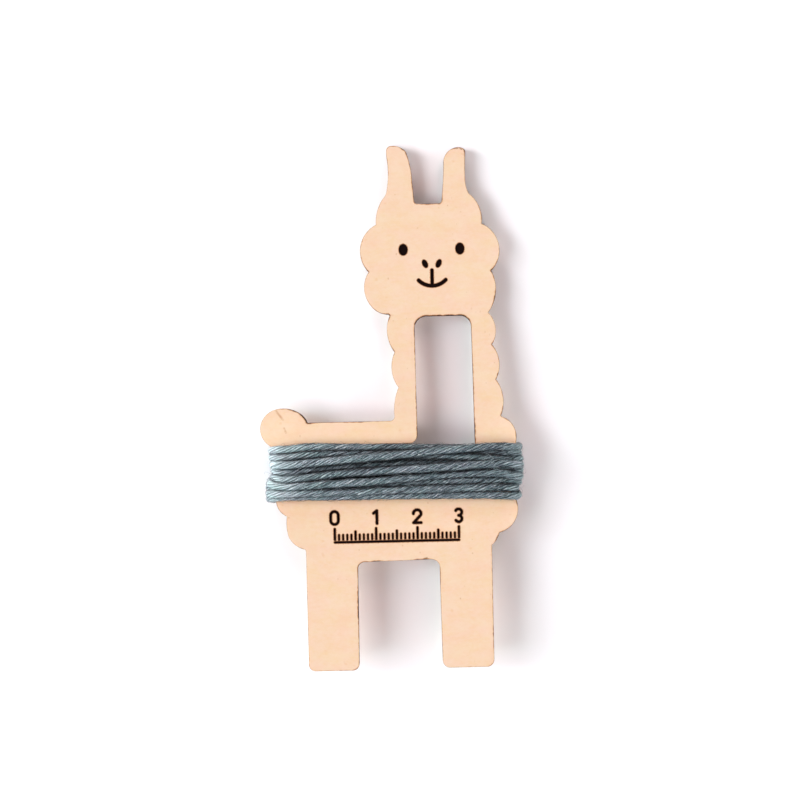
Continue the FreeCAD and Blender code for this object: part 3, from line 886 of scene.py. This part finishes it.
def ply(name, z0, z1, seed, round_top, round_bottom, recess, rough, marks=()):
    """One ply: rims with scorched, slightly uneven walls and a softened arris
    on its outside face."""
    rings = []               # (inset loops, z) from the top down
    bevel = 0.08

    def loops_at(inset, ripple):
        res = []
        for i, (p, o) in enumerate(zip(rims, rim_out)):
            n = len(p)
            e = inset + ripple * (
                0.55 * wander(n, EDGE_STEP, 0.62, seed + i)
                + 0.30 * wander(n, EDGE_STEP, 2.6, seed + 9 + i) + 0.5)
            res.append(p - o * np.broadcast_to(e, (n,))[:, None])
        return res
    if round_top:
        rings += [(loops_at(bevel, 0.0), z1),
                  (loops_at(bevel * 0.32, rough * 0.2), z1 - bevel * 0.28),
                  (loops_at(0.0, rough * 0.5), z1 - bevel)]
    else:
        rings += [(loops_at(recess, rough), z1)]
    for t in (0.33, 0.66):
        rings.append((loops_at(recess, rough), z1 + (z0 - z1) * t))
    if round_bottom:
        rings += [(loops_at(0.0, rough * 0.5), z0 + bevel),
                  (loops_at(bevel * 0.32, rough * 0.2), z0 + bevel * 0.28),
                  (loops_at(bevel, 0.0), z0)]
    else:
        rings += [(loops_at(recess, rough), z0)]
    patch = Patch()
    for (top, zt), (low, zl) in zip(rings[:-1], rings[1:]):
        for p, q in zip(top, low):
            patch.band(p, zt, q, zl)

    extra = []
    if round_top or round_bottom:
        for q, depth in near_rim_points(rims, rim_out, (
                (0.24, 1), (0.42, 2), (0.75, 3), (1.15, 5))):
            _, _, d = rim_tree.find((q[0], q[1], 0.0))
            if d > 0.93 * depth:
                extra.append(q)
        extra += open_field
    for up, ring, z in ((True, rings[0], z1), (False, rings[-1], z0)):
        if up and marks:
            pts = [q for q in extra if groove_tree.find((q[0], q[1], 0.0))[2] > 0.2]
            pts = np.array(pts)
            pts = list(pts[~inside(pts, marks)])
            outs = [outward(g) for g in marks]
            for depth, every in ((0.10, 1), (0.24, 2), (0.45, 3), (0.75, 4)):
                for g, o in zip(marks, outs):
                    for q in (g - o * depth)[::every]:
                        if groove_tree.find((q[0], q[1], 0.0))[2] > 0.9 * depth:
                            pts.append(q)
            v, f = fill(ring[0] + list(marks), pts)
            patch.flat(v, f, z, True)
            floors = [g + o * 0.045 for g, o in zip(marks, outs)]
            for g, fl in zip(marks, floors):
                patch.band(g, z, fl, z - BURNT_DEPTH)
            v, f = fill(floors)
            patch.flat(v, f, z - BURNT_DEPTH, True)
        else:
            pts = extra if (round_top if up else round_bottom) else ()
            v, f = fill(ring[0], pts)
            patch.flat(v, f, z, up)
    ob = mesh_object(name, patch.v, patch.f)
    me = ob.data
    me.set_sharp_from_angle(angle=math.radians(28))

    co = np.array(patch.v)
    burn = np.zeros(len(co))
    for i, (x, y, z) in enumerate(co):
        _, k, d = rim_tree.find((x, y, 0.0))
        s = rim_strength[k]
        outer_face = (round_top and z > z1 - 1e-3) or (round_bottom and z < z0 + 1e-3)
        if outer_face:
            b = (0.10 + 0.88 * s) * math.exp(-(d / 0.19) ** 2) \
                + 0.12 * s * math.exp(-(d / 0.5) ** 2) \
                + 0.03 * s * math.exp(-(d / 1.6) ** 2)
        else:
            b = (0.60 if round_top or round_bottom else 0.47) + 0.30 * s
        if marks and z > z1 - BURNT_DEPTH - 1e-3:
            if z < z1 - 1e-3 and d > 0.4:
                b = 1.5
            elif z > z1 - 1e-3:
                g = groove_tree.find((x, y, 0.0))[2]
                b = max(b, 0.95 * math.exp(-(g / 0.10) ** 2)
                        + 0.10 * math.exp(-(g / 0.4) ** 2))
        burn[i] = b
    point_floats(ob, "burn", burn)
    # painted shade: marks the wood under the winding, which is painted near black
    under = np.clip((YARN_BAND[1] - co[:, 1]) / 0.6, 0.0, 1.0) \
        * np.clip((co[:, 1] - YARN_BAND[0]) / 0.9, 0.0, 1.0)
    point_floats(ob, "under", under)
    open_edges = {}
    for f in patch.f:
        for p, q in zip(f, f[1:] + f[:1]):
            open_edges[(p, q)] = open_edges.get((p, q), 0) + 1
    bad = sum(1 for (p, q), n in open_edges.items()
              if n != 1 or (q, p) not in open_edges)
    print("ply", name, len(patch.v), "points", len(patch.f), "faces",
          bad, "open edges")
    return ob


front = ply("front_veneer_board", 6.0, 6.6, 100, True, False, 0.0, 0.02, grooves)
core = ply("core_ply_board", 4.2, 6.0, 130, False, False, 0.035, 0.045)
back = ply("back_veneer_board", 3.6, 4.2, 160, False, True, 0.0, 0.02)


# =============================================================== materials
def lin(r, g, b, k=1.0):
    """sRGB 0-255 to a linear colour, scaled."""
    out = []
    for c in (r, g, b):
        c /= 255.0
        out.append(c / 12.92 if c <= 0.04045 else ((c + 0.055) / 1.055) ** 2.4)
    return (*(np.array(out) * k).tolist(), 1.0)


class Graph:
    def __init__(self, name):
        self.mat = bpy.data.materials.new(name)
        self.mat.use_nodes = True
        self.nt = self.mat.node_tree
        self.nt.nodes.clear()
        self.out = self.add("ShaderNodeOutputMaterial")
        self.shader = self.add("ShaderNodeBsdfPrincipled")
        self.nt.links.new(self.shader.outputs["BSDF"], self.out.inputs["Surface"])

    def add(self, kind, ins=None, **props):
        n = self.nt.nodes.new(kind)
        for k, v in props.items():
            setattr(n, k, v)
        for k, v in (ins or {}).items():
            self.put(n.inputs[k], v)
        return n

    def put(self, socket, v):
        if isinstance(v, bpy.types.NodeSocket):
            self.nt.links.new(v, socket)
        else:
            socket.default_value = v

    def math(self, op, a, b=0.0, c=0.0, clamp=False):
        return self.add("ShaderNodeMath", {0: a, 1: b, 2: c}, operation=op,
                        use_clamp=clamp).outputs[0]

    def vec(self, op, a, b=(0, 0, 0), s=None):
        ins = {0: a, 1: b}
        if s is not None:
            ins["Scale"] = s
        n = self.add("ShaderNodeVectorMath", operation=op)
        for k, v in ins.items():
            if k == 1 and op in ("SCALE", "LENGTH"):
                continue
            self.put(n.inputs[k], v)
        return n.outputs["Value"] if op in ("DOT_PRODUCT", "LENGTH") \
            else n.outputs["Vector"]

    def noise(self, v, scale=1.0, detail=2.0, rough=0.5, w=None):
        n = self.add("ShaderNodeTexNoise", {"Vector": v, "Scale": scale,
                                            "Detail": detail, "Roughness": rough})
        return n.outputs["Fac"]

    def mix(self, f, a, b, blend="MIX"):
        n = self.add("ShaderNodeMix", data_type="RGBA", blend_type=blend)
        self.put(n.inputs[0], f)
        self.put(n.inputs[6], a)
        self.put(n.inputs[7], b)
        return n.outputs[2]

    def span(self, v, lo, hi, to0=0.0, to1=1.0, smooth=False):
        n = self.add("ShaderNodeMapRange",
                     interpolation_type="SMOOTHSTEP" if smooth else "LINEAR")
        for k, x in (("Value", v), ("From Min", lo), ("From Max", hi),
                     ("To Min", to0), ("To Max", to1)):
            self.put(n.inputs[k], x)
        return n.outputs["Result"]

    def ramp(self, f, stops):
        n = self.add("ShaderNodeValToRGB", {"Fac": f})
        r = n.color_ramp
        while len(r.elements) < len(stops):
            r.elements.new(0.5)
        for e, (at, colour) in zip(r.elements, stops):
            e.position = at
            e.color = colour
        return n.outputs["Color"]

    def attribute(self, name):
        return self.add("ShaderNodeAttribute", attribute_name=name)

    def place(self):
        """Position in the object's own frame, in millimetres."""
        t = self.add("ShaderNodeTexCoord")
        return self.vec("SCALE", t.outputs["Object"], s=1000.0)


WOOD_K = (0.7460, 0.7150, 0.7050)


def segment(g, p, a, b, half, soft):
    """1 on the straight mark from a to b, fading over soft millimetres."""
    ab = (b[0] - a[0], b[1] - a[1], 0.0)
    flat = g.vec("MULTIPLY", p, (1.0, 1.0, 0.0))
    rel = g.vec("SUBTRACT", flat, (a[0], a[1], 0.0))
    t = g.math("DIVIDE", g.vec("DOT_PRODUCT", rel, ab), ab[0] ** 2 + ab[1] ** 2,
               clamp=True)
    n = g.add("ShaderNodeVectorMath", operation="SCALE")
    n.inputs[0].default_value = ab
    g.put(n.inputs["Scale"], t)
    d = g.vec("LENGTH", g.vec("SUBTRACT", rel, n.outputs["Vector"]))
    return g.span(d, half, half + soft, 1.0, 0.0, True)


def wood(name, streaks=(), nicks=(), turn=0.0, across=False):
    """Birch veneer with its grain along X (or Y): clouded more than striped."""
    g = Graph(name)
    p = g.place()
    if turn:
        p = g.vec("ADD", p, (turn, turn * 0.7, 0.0))

    def stretch(a, b, c):
        return (b, a, c) if across else (a, b, c)
    # slow wavers bend the grain lines
    bend = g.noise(g.vec("MULTIPLY", p, stretch(0.030, 0.055, 0.05)), 1.0, 2.0)
    shift = g.add("ShaderNodeCombineXYZ",
                  {0 if across else 1: g.math("MULTIPLY", bend, 14.0)}).outputs[0]
    q = g.vec("ADD", p, shift)
    fine = g.noise(g.vec("MULTIPLY", q, stretch(0.30, 4.2, 2.0)), 1.0, 4.0, 0.6)
    band = g.noise(g.vec("MULTIPLY", q, stretch(0.06, 0.42, 0.3)), 1.0, 2.0, 0.5)
    cloud = g.noise(g.vec("MULTIPLY", p, stretch(0.20, 0.29, 0.3)), 1.0, 5.0, 0.62)
    small = g.noise(g.vec("MULTIPLY", g.vec("ADD", p, (9.0, 41.0, 0.0)),
                          stretch(0.85, 1.25, 1.0)), 1.0, 2.0, 0.55)
    hue = g.noise(g.vec("MULTIPLY", g.vec("ADD", p, (31.0, 7.0, 3.0)),
                        stretch(0.15, 0.24, 0.2)), 1.0, 4.0, 0.6)
    pale = lin(246, 225, 202, WOOD_K)
    deep = lin(242, 209, 169, WOOD_K)
    pink = lin(245, 211, 185, WOOD_K)
    yellow = lin(242, 219, 179, WOOD_K)
    f = g.math("ADD", g.math("MULTIPLY", fine, 0.23), g.math("MULTIPLY", band, 0.27))
    f = g.math("ADD", f, g.math("MULTIPLY", cloud, 0.85))
    f = g.math("ADD", f, g.math("MULTIPLY", small, 0.55))
    f = g.span(f, 0.735, 1.175, 0.0, 1.0)
    base = g.mix(f, pale, deep)
    tint = g.mix(g.span(hue, 0.36, 0.64), pink, yellow)
    base = g.mix(0.47, base, tint)
    # pores: short hairlines along the grain
    pore = g.noise(g.vec("MULTIPLY", q, stretch(1.1, 8.0, 6.0)), 1.0, 1.0, 0.5)
    base = g.mix(g.span(pore, 0.68, 0.80, 0.0, 0.12, True), base,
                 lin(214, 166, 118, WOOD_K))
    # flecks and small warm spots
    for scale, lim, amount, colour, off in (
            ((0.95, 0.80), 0.90, 0.40, (184, 128, 86), 0.0),
            ((0.42, 0.55), 0.80, 0.22, (226, 166, 108), 17.0)):
        vor = g.add("ShaderNodeTexVoronoi", {"Vector": g.vec(
            "MULTIPLY", g.vec("ADD", q, (off, off, 0.0)),
            stretch(*scale, 0.5)), "Scale": 1.0})
        pick = g.add("ShaderNodeSeparateColor",
                     {"Color": vor.outputs["Color"]}).outputs[0]
        fleck = g.math("MULTIPLY", g.span(vor.outputs["Distance"], 0.06, 0.24, 1.0,
                                          0.0, True),
                       g.span(pick, lim, lim + 0.08, 0.0, 1.0))
        base = g.mix(g.math("MULTIPLY", fleck, amount), base, lin(*colour, WOOD_K))
    for a, b, half, amount in streaks:
        s = segment(g, p, a, b, half, 0.34)
        rag = g.span(g.noise(g.vec("SCALE", p, s=1.3), 1.0, 2.0), 0.36, 0.60, 0.25, 1.0)
        base = g.mix(g.math("MULTIPLY", g.math("MULTIPLY", s, rag), amount), base,
                     lin(196, 142, 100, WOOD_K))
    for a, b, half, amount in nicks:
        s = segment(g, p, a, b, half, 0.16)
        base = g.mix(g.math("MULTIPLY", s, amount), base, lin(66, 44, 36))
    # painted light: towards the winding the wood is painted paler, against the shade the winding
    # casts on it, with a thin warm painted shadow seam beside it
    y = g.add("ShaderNodeSeparateXYZ", {0: g.place()}).outputs[1]
    off = g.math("MAXIMUM", g.math("SUBTRACT", g.math(
        "ABSOLUTE", g.math("ADD", y, 15.45)), 6.80), 0.0)
    painted_light_by_yarn = g.math("EXPONENT", g.math("MULTIPLY", g.math("POWER", off, 2.0), -0.028))
    side = g.mix(g.span(y, -16.0, -15.0), (1.16, 1.12, 1.07, 1.0),
                 (1.16, 1.175, 1.135, 1.0))
    base = g.mix(painted_light_by_yarn, base, g.mix(1.0, base, side, "MULTIPLY"))
    painted_shadow_seam = g.math("EXPONENT", g.math("MULTIPLY", off, -1.5))
    base = g.mix(painted_shadow_seam, base, g.mix(1.0, base, (1.0, 0.91, 0.89, 1.0), "MULTIPLY"))
    # scorched by the laser
    burn = g.attribute("burn").outputs["Fac"]
    stripes = g.noise(g.vec("MULTIPLY", p, (7.0, 7.0, 0.35)), 1.0, 3.0, 0.65)
    spots = g.noise(g.vec("SCALE", p, s=2.6), 1.0, 2.0, 0.6)
    wob = g.math("ADD", g.math("MULTIPLY", g.math("SUBTRACT", stripes, 0.5), 0.55),
                 g.math("MULTIPLY", g.math("SUBTRACT", spots, 0.5), 0.45))
    b = g.math("ADD", burn, g.math("MULTIPLY", wob, g.span(burn, 0.0, 0.35)),
               clamp=True)
    char = g.ramp(b, [(0.0, lin(236, 188, 142, WOOD_K)), (0.28, lin(196, 148, 108, WOOD_K)),
                      (0.50, lin(132, 92, 66)), (0.72, lin(74, 50, 39)),
                      (1.0, lin(15, 2, 1))])
    base = g.mix(g.span(b, 0.02, 0.30, 0.0, 1.0, True), base, char)
    # painted shade: the wood under the winding is painted near black
    base = g.mix(g.math("MULTIPLY", g.attribute("under").outputs["Fac"], 0.93), base,
                 lin(30, 22, 18))
    g.put(g.shader.inputs["Base Color"], base)
    g.put(g.shader.inputs["Roughness"], g.span(b, 0.0, 0.7, 0.74, 0.90))
    g.shader.inputs["Specular IOR Level"].default_value = 0.08
    # relief of the grain, pores and scorched stripes
    h = g.math("ADD", g.math("MULTIPLY", fine, 0.5),
               g.math("MULTIPLY", g.math("MULTIPLY", stripes, burn), 1.6))
    h = g.math("SUBTRACT", h, g.math("MULTIPLY", g.span(pore, 0.66, 0.80), 0.5))
    bump = g.add("ShaderNodeBump", {"Strength": 0.35, "Distance": 0.00005,
                                    "Height": h})
    g.put(g.shader.inputs["Normal"], bump.outputs["Normal"])
    return g.mat


def yarn_look(name, fluffy=False):
    g = Graph(name)
    if fluffy:
        # the dark end is painted shade on hidden fibres, the rest their random tone
        base = g.ramp(g.span(g.attribute("tone").outputs["Fac"], -1.0, 1.0), [
            (0.0, lin(10, 12, 15)), (0.42, lin(44, 54, 62)),
            (0.5, lin(78, 94, 102)), (0.72, lin(140, 160, 166)),
            (1.0, lin(226, 240, 242))])
        g.put(g.shader.inputs["Base Color"], base)
        g.shader.inputs["Roughness"].default_value = 0.6
        g.shader.inputs["Specular IOR Level"].default_value = 0.4
        g.shader.inputs["Sheen Weight"].default_value = 0.3
        return g.mat
    fib = g.attribute("fib").outputs["Vector"]
    tone = g.attribute("tone").outputs["Fac"]
    deep = g.add("ShaderNodeSeparateXYZ",
                 {0: g.attribute("deep").outputs["Vector"]}).outputs
    hair = g.noise(g.vec("MULTIPLY", fib, (0.55, 4.6, 4.6)), 1.0, 3.0, 0.62)
    hair2 = g.noise(g.vec("MULTIPLY", g.vec("ADD", fib, (50.0, 0.0, 0.0)),
                          (1.3, 9.5, 9.5)), 1.0, 2.0, 0.6)
    heather = g.noise(g.vec("MULTIPLY", fib, (0.16, 1.2, 1.2)), 1.0, 2.0, 0.5)
    f = g.math("ADD", g.math("MULTIPLY", hair, 0.60), g.math("MULTIPLY", hair2, 0.40))
    f = g.span(f, 0.372, 0.628)
    # single plies and stretches of them differ in shade
    f = g.math("ADD", f, g.math("MULTIPLY", g.math("SUBTRACT", tone, 0.5), 0.34),
               clamp=True)
    base = g.ramp(f, [(0.0, lin(26, 34, 42)), (0.36, lin(94, 111, 119)),
                      (0.70, lin(173, 192, 199)), (1.0, lin(250, 255, 255))])
    base = g.mix(g.math("MULTIPLY", g.span(heather, 0.36, 0.64), 0.46), base,
                 lin(100, 134, 132))
    # painted highlight and painted shade from the third entry of deep: paler at the yarn's ends
    # and upper front, darker towards the right
    base = g.mix(g.math("MULTIPLY", deep[2], 0.80, clamp=True), base,
                 lin(220, 238, 240))
    base = g.mix(g.math("MULTIPLY", deep[2], -1.25, clamp=True), base, lin(64, 76, 84))
    # a random mauve cast on some stretches; then painted shade: what lies between the plies and
    # between the turns sees little light and is painted dark, paler and greener where the painted
    # highlight lies
    dusk = g.noise(g.vec("MULTIPLY", g.vec("ADD", fib, (90.0, 3.0, 0.0)),
                         (0.5, 2.4, 2.4)), 1.0, 2.0, 0.5)
    base = g.mix(g.span(dusk, 0.52, 0.70, 0.0, 0.42, True), base, lin(98, 92, 106))
    low = g.mix(g.span(deep[2], 0.0, 0.5, 0.0, 1.0, True), lin(15, 23, 30),
                lin(34, 58, 64))
    base = g.mix(g.math("MULTIPLY", deep[0], g.math(
        "MULTIPLY_ADD", deep[2], -0.30, 0.94), clamp=True), base, low)
    low = g.mix(g.span(deep[2], 0.0, 0.5, 0.0, 1.0, True), lin(9, 12, 17),
                lin(24, 44, 50))
    base = g.mix(g.math("MULTIPLY", deep[1], g.math(
        "MULTIPLY_ADD", deep[2], -0.74, 0.96), clamp=True), base, low)
    # the dye took a little greener in some places and greyer in others
    dye = g.noise(g.vec("MULTIPLY", g.place(), (0.11, 0.52, 0.52)), 1.0, 2.0, 0.5)
    base = g.mix(1.0, base, g.mix(g.span(dye, 0.36, 0.64), (1.055, 0.988, 1.02, 1.0),
                                  (0.945, 1.018, 0.985, 1.0)), "MULTIPLY")
    g.put(g.shader.inputs["Base Color"], base)
    g.shader.inputs["Roughness"].default_value = 0.55
    g.shader.inputs["Specular IOR Level"].default_value = 0.33
    g.shader.inputs["Sheen Weight"].default_value = 0.25
    g.shader.inputs["Sheen Roughness"].default_value = 0.35
    g.shader.inputs["Sheen Tint"].default_value = (0.85, 0.95, 0.97, 1.0)
    bump = g.add("ShaderNodeBump", {"Strength": 0.9, "Distance": 0.00008,
                                    "Height": f})
    g.put(g.shader.inputs["Normal"], bump.outputs["Normal"])
    return g.mat


def wear(ob, mat):
    ob.data.materials.clear()
    ob.data.materials.append(mat)


wear(front, wood("face_veneer", streaks=(((-27.82, -0.18), (-26.18, -2.39), 0.06, 0.62), ((-25.98, -4.33), (-25.52, -5.55), 0.05, 0.5)),
                 nicks=(((7.26, -36.62), (7.89, -36.49), 0.09, 0.85),
                        ((17.1, 62.27), (17.49, 62.33), 0.05, 0.6),
                        ((18.07, 62.22), (18.4, 62.05), 0.05, 0.7),
                        ((19.03, 60.92), (19.07, 60.53), 0.05, 0.55))))
wear(core, wood("core_grain", turn=57.0, across=True))
wear(back, wood("back_veneer", turn=-140.0))
wear(yarn, yarn_look("plied_yarn"))
wear(fluff, yarn_look("stray_fibres", fluffy=True))

# ============================================================ what is what
for piece, node, slot in ((front, "front_veneer", "face_wood"),
                          (core, "core_ply", "core_wood"),
                          (back, "back_veneer", "back_wood"),
                          (yarn, "yarn_winding", "yarn")):
    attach(piece, "root")
    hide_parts(node)
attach(fluff, "root")

# ======================================================== floor and light
LEAN = 0.0494            # the part rests on the winding and tips on its ears
floor_me = bpy.data.meshes.new("floor")
w = 6.0
floor_me.from_pydata([(sx * w, sy * w, (sy * w + 0.0097) * LEAN)
                      for sx, sy in ((-1, -1), (1, -1), (1, 1), (-1, 1))], [],
                     [(0, 1, 2, 3)])
floor = link(bpy.data.objects.new("floor", floor_me))
g = Graph("paper")
p = g.place()
g.put(g.shader.inputs["Base Color"], g.mix(
    g.noise(g.vec("SCALE", p, s=0.02), 1.0, 2.0), (0.90, 0.90, 0.90, 1.0),
    (0.93, 0.93, 0.93, 1.0)))
g.shader.inputs["Roughness"].default_value = 0.9
g.shader.inputs["Specular IOR Level"].default_value = 0.1
wear(floor, g.mat)

# A wide low window on the left and paler walls round the rest of the room, as
# broad soft suns: (azimuth, elevation, apparent size, red, green, blue)
LIGHTS = [
    (170.0, 12.0, 22.0, 0.733, 0.557, 0.582), (170.0, 27.0, 22.0, 0.388, 0.435, 0.452),
    (170.0, 42.0, 24.0, 0.184, 0.215, 0.221), (190.0, 12.0, 22.0, 0.226, 0.347, 0.347),
    (190.0, 27.0, 22.0, 0.099, 0.092, 0.103), (190.0, 42.0, 22.0, 0.095, 0.033, 0.058),
    (210.0, 42.0, 22.0, 0.201, 0.248, 0.242), (105.0, 20.0, 24.0, 0.420, 0.390, 0.395),
    (60.0, 20.0, 24.0, 0.204, 0.229, 0.213), (60.0, 45.0, 24.0, 0.149, 0.097, 0.098),
    (345.0, 20.0, 24.0, 0.232, 0.307, 0.340), (300.0, 20.0, 24.0, 0.195, 0.225, 0.220),
    (300.0, 45.0, 24.0, 0.125, 0.055, 0.049), (270.0, 20.0, 24.0, 0.196, 0.138, 0.152),
    (240.0, 20.0, 24.0, 0.018, 0.074, 0.075),
]
AMBIENT = (0.068, 0.067, 0.069)
for i, (az, el, size, *colour) in enumerate(LIGHTS):
    strength = max(colour)
    lamp = bpy.data.lights.new("soft_%d" % i, "SUN")
    lamp.energy = math.pi * strength
    lamp.angle = math.radians(size)
    lamp.color = [c / strength for c in colour]
    lo = link(bpy.data.objects.new("soft_%d" % i, lamp))
    az, el = math.radians(az), math.radians(el)
    toward = Vector((math.cos(az) * math.cos(el), math.sin(az) * math.cos(el),
                     math.sin(el)))
    lo.location = toward * 1.5
    lo.rotation_euler = toward.to_track_quat("Z", "Y").to_euler()

world = bpy.data.worlds.new("studio")
world.use_nodes = True
wt = world.node_tree
wt.nodes.clear()
wo = wt.nodes.new("ShaderNodeOutputWorld")
mixer = wt.nodes.new("ShaderNodeMixShader")
path = wt.nodes.new("ShaderNodeLightPath")
fillb = wt.nodes.new("ShaderNodeBackground")
fillb.inputs["Color"].default_value = (*AMBIENT, 1.0)
seen = wt.nodes.new("ShaderNodeBackground")
seen.inputs["Color"].default_value = (1.0, 1.0, 1.0, 1.0)
wt.links.new(path.outputs["Is Camera Ray"], mixer.inputs[0])
wt.links.new(fillb.outputs[0], mixer.inputs[1])
wt.links.new(seen.outputs[0], mixer.inputs[2])
wt.links.new(mixer.outputs[0], wo.inputs["Surface"])
scene.world = world
scene.view_settings.view_transform = "Standard"
scene.view_settings.look = "None"
